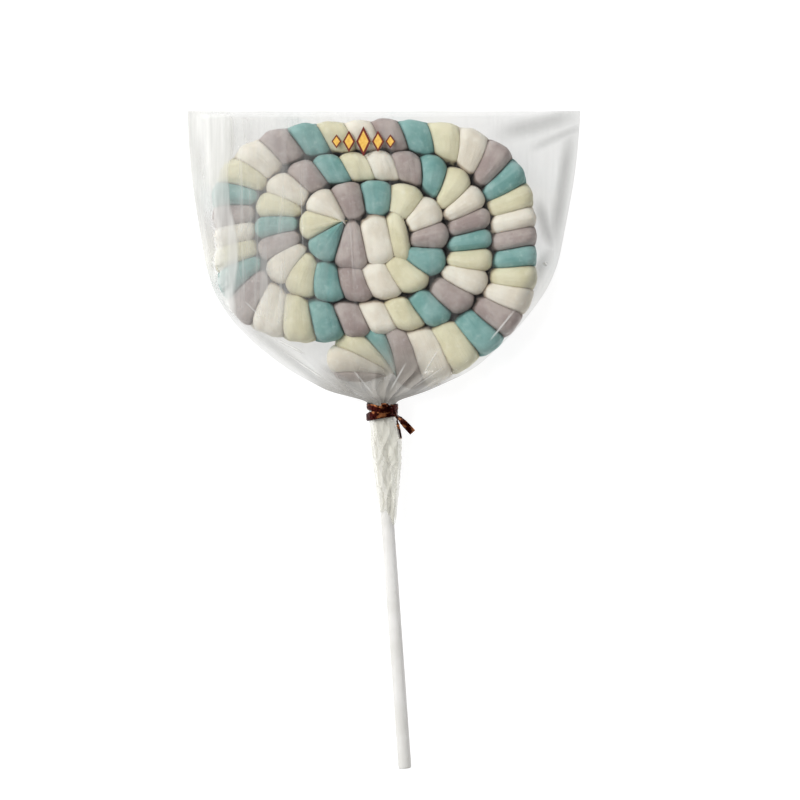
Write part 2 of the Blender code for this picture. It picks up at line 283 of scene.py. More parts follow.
def marshmallow(name, body, pale, deep, shaded):
    """Matt, powdery, slightly translucent sugar foam with uneven colour, and painted shade in its grooves
    and crevices.
    """
    n = new_material(name)
    place, along = n.place(), n.uv("strand")
    clouds = n.noise(place, 95.0, 3.0, 0.55)
    tone = n.mix_colour(n.ramp(clouds, 0.36, 0.66), deep, body)
    streaks = n.noise(n.scaled(along, (18.0, 260.0, 1.0)), 1.0, 2.0, 0.5)
    tone = n.mix_colour(n.ramp(streaks, 0.5, 0.85, 0.0, 0.35), tone, pale)
    powder = n.noise(place, 420.0, 4.0, 0.65)
    dust_and_shade = n.mix_colour(n.ramp(powder, 0.5, 0.78, 0.0, 0.5), tone, pale)
    # painted shade: darker between the bands, and down to near-black in the crevices between the turns
    hollow = n.split(n.uv("hollow"))
    unevenly = n.ramp(n.noise(place, 210.0, 2.0, 0.5), 0.3, 0.7, 0.65, 1.25)
    between_bands = n.times(hollow["Y"], unevenly, clamp=True)
    dust_and_shade = n.mix_colour(between_bands, dust_and_shade, shaded)
    between_turns = n.times(hollow["X"], unevenly, clamp=True)
    dust_and_shade = n.mix_colour(n.ramp(between_turns, 0.0, 0.5), dust_and_shade, shaded)
    dust_and_shade = n.mix_colour(n.ramp(between_turns, 0.35, 1.0), dust_and_shade, CREVICE_SHADE)
    grain = n.noise(place, 1900.0, 3.0, 0.6)
    folds = n.noise(n.scaled(along, (60.0, 420.0, 1.0)), 1.0, 3.0, 0.55)
    pits = n.add("TexVoronoi", {"Vector": place, "Scale": 520.0}).outputs["Distance"]
    normal = n.bump(folds, 0.55, 0.0009)
    normal = n.bump(n.ramp(pits, 0.0, 0.35), 0.10, 0.0002, normal)
    normal = n.bump(grain, 0.35, 0.00012, normal)
    return n.principled({
        "Base Color": dust_and_shade, "Roughness": n.ramp(powder, 0.3, 0.7, 0.72, 0.92),
        "Subsurface Weight": 0.22, "Subsurface Radius": (1.0, 0.85, 0.7),
        "Subsurface Scale": 0.0022, "Specular IOR Level": 0.3, "Sheen Weight": 0.12,
        "Sheen Roughness": 0.6, "Normal": normal})


def painted_line_share(n, place, fold):
    """Share of painted haze along a line on the film, which fades to its sides and its ends: painted
    shade on folds, painted highlights on glints.
    """
    x0, y0, x1, y1, half_width = [value * MM for value in fold[:5]]
    length = math.hypot(x1 - x0, y1 - y0)
    ux, uy = (x1 - x0) / length, (y1 - y0) / length
    along = n.math("SUBTRACT", n.dot(place, (ux, uy, 0.0)), x0 * ux + y0 * uy)
    off = n.math("SUBTRACT", n.dot(place, (uy, -ux, 0.0)), x0 * uy - y0 * ux)
    haze = n.ramp(n.math("ABSOLUTE", off), 0.0, half_width, fold[5], 0.0)
    haze = n.times(haze, n.ramp(along, 0.0, 0.35 * length))
    return n.times(haze, n.ramp(along, 0.65 * length, length, 1.0, 0.0))


def painted_sheen_share(n, place, normal):
    """Share of white haze that paints a sheen of reflected light: streaks and veils on the left, gone
    near the neck and on steep film.
    """
    axes = n.split(place)
    waver = n.times(n.math("SUBTRACT", n.noise(place, 22.0, 2.0), 0.5), VEIL_WAVER)
    across = n.math("ADD", axes["X"], waver)
    streaks = n.noise(n.scaled(place, (170.0, 11.0, 60.0)), 1.0, 3.0, 0.6, 0.3)
    fading = n.ramp(across, *STREAK_FADE, 1.0, 0.35)
    white = n.times(n.ramp(streaks, 0.50, 0.78, 0.0, 0.16), fading)
    for edge, veil in VEILS:
        white = n.math("ADD", white, n.ramp(across, (edge - 1) * MM, (edge + 1) * MM, veil, 0.0))
    white = n.times(white, n.ramp(streaks, 0.25, 0.65, 0.7, 1.2))
    white = n.times(white, n.ramp(axes["Y"], *VEIL_FOOT))
    facing_up = n.math("ABSOLUTE", n.split(normal)["Z"])
    return n.times(white, n.ramp(facing_up, 0.35, 0.85, 0.12, 1.0))


def clear_film(name, tint, gloss, beige, beige_tone, veiled=False):
    """Thin clear film: see-through and glossy, beige where it is gathered.

    beige is the share of haze at the neck and far from it. Veiled film also has white veils of painted
    sheen, folds of painted shade and painted white glints.
    """
    n = new_material(name)
    place = n.place()
    crinkle = n.noise(n.scaled(place, (55.0, 30.0, 55.0)), 1.0, 4.0, 0.55, 0.6)
    normal = n.bump(crinkle, 0.30, 0.0010)
    geometry = n.add("NewGeometry").outputs
    less = n.times(geometry["Backfacing"], FILM_INDEX - 1 / FILM_INDEX)
    index = n.math("SUBTRACT", FILM_INDEX, less)
    fresnel = n.add("Fresnel", {"IOR": index, "Normal": normal}).outputs["Fac"]
    mirrored = n.times(fresnel, gloss, clamp=True)
    clear = n.add("BsdfTransparent", {"Color": tint})
    shine = n.add("BsdfGlossy", {"Color": WHITE, "Roughness": FILM_ROUGHNESS, "Normal": normal})
    film = n.mix_shader(mirrored, clear.outputs[0], shine.outputs[0])
    from_neck = n.add("VectorMath", {0: place, 1: GATHERED_MIDDLE},
                      operation="DISTANCE").outputs["Value"]
    gathered = n.ramp(from_neck, *GATHERED_REACH, *beige)
    mottled = n.times(gathered, n.ramp(crinkle, 0.3, 0.7, 0.55, 1.45), clamp=True)
    film = n.haze(film, mottled, beige_tone)
    if veiled:
        painted_fold_shade, white = 0.0, painted_sheen_share(n, place, geometry["True Normal"])
        for fold in PAINTED_FOLD_SHADES:
            painted_fold_shade = n.math("MAXIMUM", painted_fold_shade, painted_line_share(n, place, fold))
        for glint in PAINTED_GLINTS:
            white = n.math("MAXIMUM", white, painted_line_share(n, place, glint))
        # painted shade along the folds
        film = n.haze(film, painted_fold_shade, (0.33, 0.33, 0.32))
        # painted sheen and painted glints, as white haze over the film
        film = n.haze(film, white, (0.76, 0.76, 0.735))
    return n.surface(film)


def copper_foil():
    """Red-brown copper foil, painted near-black with bright copper along creases: painted dark
    reflections and painted glints.
    """
    n = new_material("copper_foil")
    place = n.place()
    crumple = n.add("TexVoronoi", {"Vector": place, "Scale": 900.0}).outputs["Distance"]
    creases = n.noise(n.scaled(place, (260.0, 420.0, 260.0)), 1.0, 3.0, 0.5)
    # painted glints where the crease noise is high, painted dark reflections elsewhere
    bright = n.ramp(creases, 0.53, 0.68)
    tone = n.mix_colour(bright, (0.045, 0.006, 0.005), (0.62, 0.23, 0.09))
    normal = n.bump(crumple, 0.6, 0.0004)
    normal = n.bump(creases, 0.5, 0.0003, normal)
    return n.principled({"Base Color": tone, "Metallic": 1.0, "Normal": normal,
                         "Roughness": n.ramp(creases, 0.2, 0.8, 0.16, 0.34)})


def white_plastic():
    """Satin white, with fine lines drawn along the stick and faint clouds."""
    n = new_material("white_plastic")
    place = n.place()
    drawn = n.noise(n.scaled(place, (900.0, 18.0, 900.0)), 1.0, 3.0, 0.5)
    cloud = n.noise(place, 60.0, 3.0, 0.5)
    tone = n.mix_colour(n.ramp(cloud, 0.35, 0.7), (0.66, 0.65, 0.62), (0.74, 0.73, 0.71))
    tone = n.mix_colour(n.ramp(drawn, 0.45, 0.8, 0.0, 0.3), tone, (0.56, 0.55, 0.52))
    normal = n.bump(drawn, 0.2, 0.0002)
    return n.principled({
        "Base Color": tone, "Roughness": n.ramp(drawn, 0.3, 0.8, 0.38, 0.52),
        "Subsurface Weight": 0.15, "Subsurface Radius": (1.0, 0.95, 0.9),
        "Subsurface Scale": 0.002, "Normal": normal})


# ------------------------ the coiled rope

def spiral(turn):
    """Points of an oval spiral, a little squarer with every turn."""
    angle = math.tau * turn
    bulge = 1 + (SQUARENESS[0] + SQUARENESS[1] * turn) * (1 - np.cos(4 * angle)) / 2
    lift = HEART_LIFT * np.exp(-(turn / HEART_LIFT_TURNS) ** 2)
    x = COIL_CENTRE[0] + (FIRST_RADIUS[0] + TURN_PITCH[0] * turn) * bulge * np.cos(angle)
    y = COIL_CENTRE[1] - (FIRST_RADIUS[1] + TURN_PITCH[1] * turn) * bulge * np.sin(angle) + lift
    return np.stack([x, y], axis=-1)


def centreline(turn):
    """Centreline of the rope, whose inner end is straight."""
    step = 1e-4
    slope = (spiral(LEAD_IN + step) - spiral(LEAD_IN)) / step
    before = np.minimum(turn - LEAD_IN, 0.0)
    return spiral(np.maximum(turn, LEAD_IN)) + before[:, None] * slope


class Rope:
    """Evenly spaced stations along the rope, from its heart to its hooked outer end."""

    def __init__(self):
        turn = np.linspace(COIL_START, HOOK_START, SPINE_SAMPLES)
        place = centreline(turn)
        run = np.concatenate([[0], np.cumsum(np.linalg.norm(np.diff(place, axis=0), axis=1))])
        coil_length = run[-1]
        self.length = coil_length + HOOK_LENGTH
        self.s = np.linspace(0, self.length, int(self.length / STATION))
        in_coil = np.minimum(self.s, coil_length)
        self.turn = np.interp(in_coil, run, turn)
        heading = (place[-1] - place[-2]) / np.linalg.norm(place[-1] - place[-2])
        outward = np.array([-heading[1], heading[0]])
        bend = np.maximum(self.s - coil_length, 0) / HOOK_RADIUS
        hook = (np.sin(bend)[:, None] * heading + (1 - np.cos(bend))[:, None] * outward) * HOOK_RADIUS
        self.place = centreline(self.turn) + hook
        self.heading = np.gradient(self.place, axis=0)
        self.heading /= np.linalg.norm(self.heading, axis=1)[:, None]
        self.outward = np.stack([-self.heading[:, 1], self.heading[:, 0]], axis=1)
        self.place += self.outward * uneven(self.s, UNEVEN_PLACE)[:, None]
        self.hooked = smooth_step(self.s - coil_length, *HOOK_BLEND)
        self.outside, self.inside = [(1 - self.hooked) * width + self.hooked * reach
                                     for width, reach in zip(self.widths(), HOOK_REACH)]
        self.half_height = ROPE_HALF_HEIGHT * (1 + uneven(self.s, UNEVEN_HEIGHT))
        self.tucked = smooth_step(self.turn, *TUCK_TURNS)
        self.z = MIDDLE - HOOK_SINK * self.hooked
        self.tips()
        self.twist()

    def widths(self):
        """Half widths towards the outside and the inside: half the way to the next turn."""
        place = centreline(self.turn)
        change = 1 + uneven(self.s, UNEVEN_WIDTH)
        result = []
        for way, reach, turns, overlap in zip((1, -1), HEART_REACH, HEART_TURNS, ROPE_OVERLAP):
            gap = way * np.sum((centreline(self.turn + way) - place) * self.outward, axis=1) / 2
            own = smooth_step(self.turn, *turns)
            result.append(((1 - own) * reach + own * gap) * change * overlap)
        free = smooth_step(self.turn, OUTER_TURN, OUTER_TURN + OUTER_BLEND)
        swell = FREE_WIDTH + sum(share * np.exp(-((self.turn - turn) / spread) ** 2)
                                 for turn, spread, share in FREE_SWELLS)
        result[0] += free * (result[1] / ROPE_OVERLAP[1] * swell - result[0])
        return result

    def tips(self):
        """Round both ends."""
        heart = np.clip(self.s / TIP_ROUNDING[0], 0, 1)
        end = np.clip((self.length - self.s) / TIP_ROUNDING[1], 0, 1)
        close = np.sqrt(1 - (1 - heart) ** TIP_POWER) * np.sqrt(1 - (1 - end) ** TIP_POWER)
        close = np.maximum(close, TIP_LEAST)
        self.outside = self.outside * close
        self.inside = self.inside * close
        self.half_height = self.half_height * close

    def twist(self):
        """Count of the bands that pass on top of the rope, along it."""
        start, growth, speeding = BAND_COUNT
        sway = BAND_SWAY * np.sin(math.tau * (SWAY_RATE * self.turn + SWAY_START))
        self.bands = start + growth * self.turn + speeding * self.turn ** 2 + sway
        self.bands += np.maximum(self.s - self.length + HOOK_LENGTH, 0) / HOOK_BAND
        self.slant = BAND_SLANT - SLANT_SWAY * np.cos(4 * math.pi * self.turn)
        self.slant *= smooth_step(self.turn, *SLANT_TURNS)

    def at(self, s, values):
        return np.interp(s, self.s, values)

    def surface(self, s, across, up):
        """Points beside and above the centreline, in shares of the half width and height."""
        lean = across * LEAN * smooth_step(up, 0.0, 0.5) * (1 - self.at(s, self.hooked))
        lean = lean * np.where(across > 0, 1.0, self.at(s, self.tucked))
        across = across * np.where(across > 0, self.at(s, self.outside), self.at(s, self.inside))
        up = up * self.at(s, self.half_height) + lean
        x = self.at(s, self.place[:, 0]) + self.at(s, self.outward[:, 0]) * across
        y = self.at(s, self.place[:, 1]) + self.at(s, self.outward[:, 1]) * across
        return np.stack([x, y, self.at(s, self.z) + up], axis=-1)


def rim(laps):
    """Place on the rim of the rope's section at even steps, and the share of the underside."""
    angle = np.linspace(0, math.tau, RIM_SAMPLES)
    across = signed_power(np.cos(angle), 1 / ROPE_SQUASH)
    up = signed_power(np.sin(angle), 1 / ROPE_SQUASH)
    run = np.concatenate([[0], np.cumsum(np.hypot(np.diff(across), np.diff(up)))])
    share = laps % 1
    under = np.clip(2 * share - 1, 0, 1)
    return np.interp(share, run / run[-1], across), np.interp(share, run / run[-1], up), under


def strand_columns():
    """Places across a band from -1 to 1: over its face, then back along its inner walls."""
    face = np.sin(np.linspace(-1, 1, BAND_POINTS) * math.pi / 2)[None, :] * BAND_EDGE
    return np.concatenate([face, [[BAND_EDGE, 0, -BAND_EDGE]]], axis=1)


def strand_bands(rope, number, laps, across, under, v):
    """Place along the rope, in bands, of every point of a strand that winds round it."""
    count = len(STRANDS)
    even = count * laps + number - 1 + v / 2
    slant = np.interp(even, rope.bands, rope.slant)
    passed = np.where(under > 0, slant + (count - 2 * slant)
                      * (under - np.sin(math.tau * under) / math.tau), -slant * across)
    return passed + count * np.floor(laps) + number + v / 2


def strand_lobes(rope, number, laps, across, up, v, s, beside):
    """How far out the points of a strand lie, and how deep its grooves are."""
    on_top = np.clip(up, 0, 1) ** 1.5
    before, after = GROOVES[number - 1], GROOVES[number]
    depth = np.where(v > 0, after, before) * (1 + uneven(laps * STRAND_LAP, UNEVEN_GROOVES))
    tucked = smooth_step(-across, 0.0, 0.5) * rope.at(s, rope.tucked)
    side = SIDE_GROOVES[0] + (SIDE_GROOVES[1] - SIDE_GROOVES[0]) * tucked
    side = np.where(up < 0, UNDER_GROOVE, side)
    depth = side + (depth - side) * on_top
    rounding = (np.sqrt(1 - np.abs(v) ** 2.1) + 1 - np.abs(v) ** 2.4) / 2
    lobe = 1 - depth * (1 - rounding)
    lobe = lobe * (1 + uneven(s, UNEVEN_BANDS, number))
    lobe = lobe * (1 + UNDER_WIDENING * beside * smooth_step(-up, 0.0, 0.25))
    lobe[:, BAND_POINTS:] = INNER_WALL
    return lobe, depth


def painted_shade_shares(across, v, beside, depth):
    """How deep the points lie between two turns and between two bands, from 0 to about 1: the shares of
    painted shade there.
    """
    meeting = smooth_step(np.abs(v), 0.5, 1.0)
    outer_end = smooth_step(across + 0.05 * meeting, 0.90, 0.99) * (0.7 + 0.3 * meeting)
    inner_end = smooth_step(-across + 0.03 * meeting, 0.68, 0.92)
    between_turns = beside * np.where(across > 0, outer_end, inner_end)
    between_bands = smooth_step(np.abs(v), 0.84, 1.0) * (depth / max(GROOVES)) ** 1.5
    return np.stack([between_turns, between_bands], axis=-1)


def strand_mesh(rope, number):
    """One strand: rows go round the rope, columns across the strand, then its inner walls."""
    first, last = [(rope.bands[end] - number) / len(STRANDS) for end in (0, -1)]
    laps = np.arange(math.floor((first - SPARE_LAP) * RIM_STEPS),
                     math.ceil((last + SPARE_LAP) * RIM_STEPS))[:, None] / RIM_STEPS
    across, up, under = rim(laps)
    v = strand_columns()
    band = strand_bands(rope, number, laps, across, under, v)
    s = np.interp(band, rope.bands, rope.s)
    turn = rope.at(s, rope.turn)
    beside = np.where(across > 0, smooth_step(-turn, -OUTER_TURN - OUTER_BLEND, -OUTER_TURN), 1.0)
    beside = beside * (1 - rope.at(s, rope.hooked))
    lobe, depth = strand_lobes(rope, number, laps, across, up, v, s, beside)
    keep = (band.max(axis=1) > rope.bands[0]) & (band.min(axis=1) < rope.bands[-1])
    section = rope.surface(s, across * lobe, up * lobe)[keep]
    section[..., 2] = np.maximum(section[..., 2], UNDERSIDE)
    uv = np.stack(np.broadcast_arrays(laps * STRAND_LAP, v * BAND_LENGTH / 2), axis=-1)[keep]
    return section, uv, painted_shade_shares(across, v, beside, depth)[keep]


def make_rope(rope):
    """The four strands, and the outer points that the film lies on."""
    skin = []
    for number, name in enumerate(STRANDS):
        section, place, hollow = strand_mesh(rope, number)
        finish = marshmallow(f"{name}_marshmallow", *TONES[name])
        piece = new_piece(f"rope_{name}", section.reshape(-1, 3), tube_faces(*section.shape[:2]),
                          finish)
        add_uv(piece, "strand", place)
        # the shares of painted shade between the turns and between the bands
        add_uv(piece, "hollow", hollow)
        skin.append(section[:, :BAND_POINTS].reshape(-1, 3))
    return np.concatenate(skin)


# ------------------------ the film bag

BAG_EDGES = (  # left and right edge from the hem down to the open end, millimetres
    (141.4, -84.6, 84.6),
    (116, -83.2, 82.6),
    (92, -79.6, 78.2),
    (72, -76.2, 74.4),
    (58, -71, 66.2),
    (44, -59, 54),
    (30, -41, 38.5),
    (21, -24, 18.5),
    (17.8, -11.4, 8.6),
    (16.6, -6.7, 5),
    (9.6, -6.5, 5),
    (4.6, -5.9, 7),
    (-2, -5.8, 7.7),
    (-14, -4.4, 7.3),
    (-26, -2.6, 6),
    (-34, -2.2, 5.2),
)
NECK_TOP = 16.6 * MM
NECK_HALF, SKIRT_END_HALF = 5.4 * MM, 4.0 * MM  # half thickness under the tie and at the open end
NECK_ROW = 12.4 * MM  # the sheets end here, under the tie
TIED_REACH = (15.0 * MM, 19.0 * MM)  # the film is drawn in to the neck over this
SKIRT_TOP = 13.2 * MM
SKIRT_END = BAG_LOW.y
SKIRT_ROWS, SKIRT_COLUMNS = 110, 150
SKIRT_FOLDS, SKIRT_FINE_FOLDS = 8, 13  # round the skirt
EDGE_ROUNDING = (1.2 * MM, 9.0 * MM)  # least and most, for the corners of the outline
EDGE_ROUNDING_GROWTH = 0.25  # with height above the neck
FLAT_MARGIN = (4.5 * MM, 8.0 * MM)  # the two sheets lie together along the left and right seam
MARGIN_HALF = 0.5 * MM
FILM_GAP = 0.22 * MM  # between the rope and the film
FLOOR_GAP = 0.12 * MM
FILM_ROWS, FRONT_COLUMNS, BACK_COLUMNS = 280, 230, 120
MAP_CELL = 0.8 * MM
DRAPE_PASSES = 1500
TAUT_PASSES = 10
TAUTNESS = 0.72  # share of the taut film in the film's shape; the rest is draped
SOFTENING = 8  # passes that round the taut film's folds, one map cell each
PLEATS = 9
PLEAT_SWAY, PLEAT_DRIFT = (80, 0.05, 0.7), (81, 0.012, 20 * MM)  # seed, amount and length
PLEAT_DEPTH, PLEAT_REACH = 0.13, 30.0 * MM
WING_WAVE = 1.6 * MM  # of the film where it lies empty beside the rope
WING_ALONG, WING_ACROSS = (83, 1.0, 70 * MM), (84, 0.5, 50 * MM)
PRINT_Y, PRINT_GAP = 127.5 * MM, 0.15 * MM
LOZENGE_SIDES, LOZENGE_RINGS, LEAST_RING = 32, 7, 0.04
LOZENGES = (  # place across the bag, half width and half height, millimetres
    (-20.2, 2.1, 3),
    (-14.9, 2.6, 4.6),
    (-8.7, 3.1, 6.4),
    (-2.5, 2.6, 4.6),
    (2.8, 2.1, 3),
)
RIDGES = (  # tension lines that lift the film: x, y and height at both ends, millimetres
    (-22, 126, 10.2, -17, 52, 10.3),
    (-37, 122, 9.9, -35, 58, 10),
    (-64.5, 112, 9.2, -62, 66, 9.2),
    (28, 128, 9.9, 44, 104, 9.9),
)
CREASES = (  # from x, y to x, y, height and half width, all in millimetres
    (-43, 43.5, -12, 17.5, 0.70, 1.1),
    (-52, 54, -20, 24.5, 0.50, 1.4),
    (-81, 139, -78.6, 84, 0.30, 1.2),
    (56, 121, 84, 137, 0.70, 2.6),
    (73.5, 126, 74.5, 60, 0.90, 3.2),
    (50, 46, 14, 18.5, 0.35, 1.6),
    (-27, 34, -4, 17, 0.40, 1.4),
    (20, 30, 4, 17, 0.35, 1.4),
)
FILM_INDEX = 1.5  # of refraction; thin film mirrors the same on both of its faces
FILM_ROUGHNESS = 0.09
GATHERED_MIDDLE = (0.0, 12.0 * MM, 10.0 * MM)
GATHERED_REACH = (12.0 * MM, 40.0 * MM)  # from there; the haze fades out over this
VEILS = ((-64, 0.36), (-36.5, 0.14), (-23, 0.07))  # right edge, in millimetres, and share of the white haze that paints sheen
VEIL_WAVER = 16.0 * MM  # how far their edges wander
VEIL_FOOT = (30.0 * MM, 62.0 * MM)  # they fade out towards the neck over this
STREAK_FADE = (-35.0 * MM, 15.0 * MM)  # the painted sheen's streaks weaken to the right over this
PAINTED_FOLD_SHADES = (  # folds with painted shade: x, y to x, y and half width in millimetres, and share of painted shade
    (81, 138, 72, 78, 4.5, 0.30),
    (73.5, 86, 54, 50, 4.5, 0.26),
    (44, 130.5, 88, 141, 5.5, 0.26),
    (60, 124, 88, 136, 3, 0.18),
    (65, 106, 73, 80, 4, 0.26),
    (-83, 142, -77.5, 84, 4.5, 0.14),
    (-62, 52, -20, 19, 3, 0.16),
    (-28, 33, -4, 18, 2, 0.30),
)
PAINTED_GLINTS = (  # painted glints: white streaks of painted highlight on the film, in the same way
    (33, 33, 6, 15, 7, 0.22),
    (-48.5, 44.5, -33, 36.5, 0.7, 0.85),
    (-39, 35, -24, 25, 0.6, 0.85),
    (-46, 40, -30, 29, 0.5, 0.45),
    (-62, 62, -50, 50, 0.7, 0.45),
    (-64, 78, -58, 60, 0.6, 0.35),
    (68.5, 76.6, 70.5, 75, 0.9, 1),
    (-36, 124, -34, 70, 0.6, 0.30),
    (-15, 100, -12.5, 62, 0.5, 0.22),
    (10, 34, 2, 20, 0.6, 0.55),
    (28, 33, 9, 20, 0.6, 0.50),
    (-14, 31, -4, 19, 0.6, 0.40),
    (24, 40, 16, 27, 0.5, 0.40),
    (57, 57, 44, 41, 0.7, 0.55),
)


def bag_edges(y):
    """Left and right edge of the bag at the given heights, with rounded corners."""
    stations = np.array(BAG_EDGES) * MM
    reach = np.clip(EDGE_ROUNDING_GROWTH * (y - NECK_TOP), *EDGE_ROUNDING)
    nearby = y[:, None] + reach[:, None] * np.linspace(-1, 1, 9)[None, :]
    left = np.interp(nearby, stations[::-1, 0], stations[::-1, 1]).mean(axis=1)
    right = np.interp(nearby, stations[::-1, 0], stations[::-1, 2]).mean(axis=1)
    return left, right


def film_plan(columns):
    """Plan of a sheet of film: rows from hem to neck, columns from seam to seam."""
    y = np.linspace(BAG_HIGH.y, NECK_ROW, FILM_ROWS)
    left, right = bag_edges(y)
    share = np.linspace(-1, 1, columns)
    share = (share + np.sin(math.pi / 2 * share)) / 2
    x = left[:, None] + (right - left)[:, None] * (1 + share[None, :]) / 2
    return x, np.repeat(y[:, None], columns, axis=1), share


def neck_half(y):
    """Half thickness of the gathered film, from the neck down to the open end."""
    fall = np.clip((NECK_TOP - y) / (NECK_TOP - SKIRT_END), 0, 1)
    return NECK_HALF + (SKIRT_END_HALF - NECK_HALF) * fall


class HeightMap:
    """Raster over the bag with heights from the mid plane, on one side of it."""

    def __init__(self):
        self.x = np.arange(BAG_LOW.x - 3 * MAP_CELL, BAG_HIGH.x + 3 * MAP_CELL, MAP_CELL)
        self.y = np.arange(NECK_ROW - 3 * MAP_CELL, BAG_HIGH.y + 3 * MAP_CELL, MAP_CELL)
        self.height = np.zeros((len(self.y), len(self.x)))

    def drop(self, points):
        """Raise the map to the given points."""
        column = np.rint((points[:, 0] - self.x[0]) / MAP_CELL).astype(int)
        row = np.rint((points[:, 1] - self.y[0]) / MAP_CELL).astype(int)
        held = (column > 0) & (column < len(self.x) - 1) & (row > 0) & (row < len(self.y) - 1)
        np.maximum.at(self.height, (row[held], column[held]), points[held, 2])

    def widen(self):
        """Close the gaps between points: each cell takes the highest of its neighbours."""
        rows = np.maximum(self.height, np.maximum(np.roll(self.height, 1, 0),
                                                  np.roll(self.height, -1, 0)))
        self.height = np.maximum(rows, np.maximum(np.roll(rows, 1, 1), np.roll(rows, -1, 1)))

    def pull_taut(self, inside):
        """The lowest film above the map that is nowhere hollow."""
        film = self.height * inside
        ways = ((0, 1), (1, 0), (1, 1), (1, -1), (1, 2), (2, 1), (2, -1), (1, -2))
        for _ in range(TAUT_PASSES):
            for step in (1, 2, 4, 8, 16, 32):
                for row, column in ways:
                    shift = np.array((row * step, column * step))
                    ahead = np.roll(film, shift, axis=(0, 1))
                    behind = np.roll(film, -shift, axis=(0, 1))
                    film = np.maximum(film, (ahead + behind) / 2) * inside
        for _ in range(SOFTENING):
            film = (film + np.roll(film, 1, 0) + np.roll(film, -1, 0)
                    + np.roll(film, 1, 1) + np.roll(film, -1, 1)) / 5
        result = HeightMap()
        result.height = film
        return result

    def look_up(self, x, y):
        column = np.clip((x - self.x[0]) / MAP_CELL, 0, len(self.x) - 1.001)
        row = np.clip((y - self.y[0]) / MAP_CELL, 0, len(self.y) - 1.001)
        c, r = column.astype(int), row.astype(int)
        u, v = column - c, row - r
        low = self.height[r, c] * (1 - u) + self.height[r, c + 1] * u
        high = self.height[r + 1, c] * (1 - u) + self.height[r + 1, c + 1] * u
        return low * (1 - v) + high * v


def drape(obstacle, x, y):
    """Film stretched over an obstacle, held at the hem, the seams and the neck."""
    free = np.count_nonzero(y[:, 0] > NECK_TOP) + 1
    film = obstacle.copy()
    part = film[:free]
    inner = (slice(1, free - 1), slice(1, -1))
    step_x = np.gradient(x, axis=1)[inner]
    step_y = np.gradient(y, axis=0)[inner]
    over_share = step_y ** 2 / (step_x ** 2 + step_y ** 2)
    for _ in range(DRAPE_PASSES):
        down = (part[:-2, 1:-1] + part[2:, 1:-1]) / 2
        over = (part[1:-1, :-2] + part[1:-1, 2:]) / 2
        film[inner] = np.maximum(obstacle[inner], down + (over - down) * over_share)
    return film


def pleat_wave(phase):
    """Sharp-crested folds: 1 on a crest, -1 in a valley."""
    return 1 - 2 * np.abs(np.sin(math.pi * phase)) ** 0.8


def creases(x, y):
    """Long straight tension folds, with sharp crests that fade towards their ends."""
    total = np.zeros_like(x)
    for x0, y0, x1, y1, height, width in np.array(CREASES) * MM:
        along = np.hypot(x1 - x0, y1 - y0)
        ux, uy = (x1 - x0) / along, (y1 - y0) / along
        share = ((x - x0) * ux + (y - y0) * uy) / along
        bow = 0.02 * along * np.sin(math.pi * np.clip(share, 0, 1))
        off = np.abs((y - y0) * ux - (x - x0) * uy + bow)
        fade = smooth_step(share, -0.05, 0.25) * smooth_step(1 - share, -0.05, 0.25)
        total += height * np.exp(-off / width) * fade
    return total


def ridge_points():
    """Points along the tension lines."""
    points = []
    for x0, y0, z0, x1, y1, z1 in np.array(RIDGES) * MM:
        share = np.linspace(0, 1, 200)[:, None]
        points.append((1 - share) * np.array([[x0, y0, z0]]) + share * np.array([[x1, y1, z1]]))
    return points


def taut_film(rope, ridges, x, y, neck):
    """Film pulled tight over rope, ridges and neck, and flat beside the seams."""
    left, right = bag_edges(rope.y)
    inside = (rope.x[None, :] > left[:, None]) & (rope.x[None, :] < right[:, None])
    inside &= (rope.y < BAG_HIGH.y - MAP_CELL)[:, None]
    for points in ridges:
        rope.drop(points)
    rope.drop(np.stack([x, y, neck], axis=-1).reshape(-1, 3))
    tight = rope.pull_taut(inside).look_up(x, y)
    for near_edge, margin in ((x - x[:, :1], FLAT_MARGIN[0]), (x[:, -1:] - x, FLAT_MARGIN[1])):
        flattened = smooth_step(near_edge, 0.2 * margin, 2.2 * margin)
        tight = tight * (1 - (1 - flattened) * smooth_step(y, 50 * MM, 85 * MM))
        tight = np.maximum(tight, MARGIN_HALF * smooth_step(near_edge, 0, 2 * MM))
    return tight


def pleated(film, obstacle, x, y, share):
    """The film with its pleats above the neck and its long creases, drawn in under the tie."""
    above = np.clip(1 - (y - NECK_TOP) / PLEAT_REACH, 0, 1) ** 1.3
    held = np.clip(np.abs(y - NECK_TOP) / (8 * MM), 0.25, 1)
    warped = share[None, :] + uneven(share, PLEAT_SWAY)[None, :] + uneven(y, PLEAT_DRIFT)
    folds = pleat_wave(warped * PLEATS / 2 + 0.25)
    film = film * (1 + PLEAT_DEPTH * above * held * folds)
    edge_fade = smooth_step(1 - np.abs(share), 0.0, 0.05)[None, :]
    hem_fade = smooth_step(BAG_HIGH.y - y, 0.0, 4 * MM)
    film = film + creases(x, y) * edge_fade * hem_fade
    film = np.maximum(film, obstacle)
    tied = NECK_HALF * np.sqrt(1 - share[None, :] ** 2) * (1 + 0.4 * PLEAT_DEPTH * folds)
    return tied + (film - tied) * smooth_step(y, *TIED_REACH)


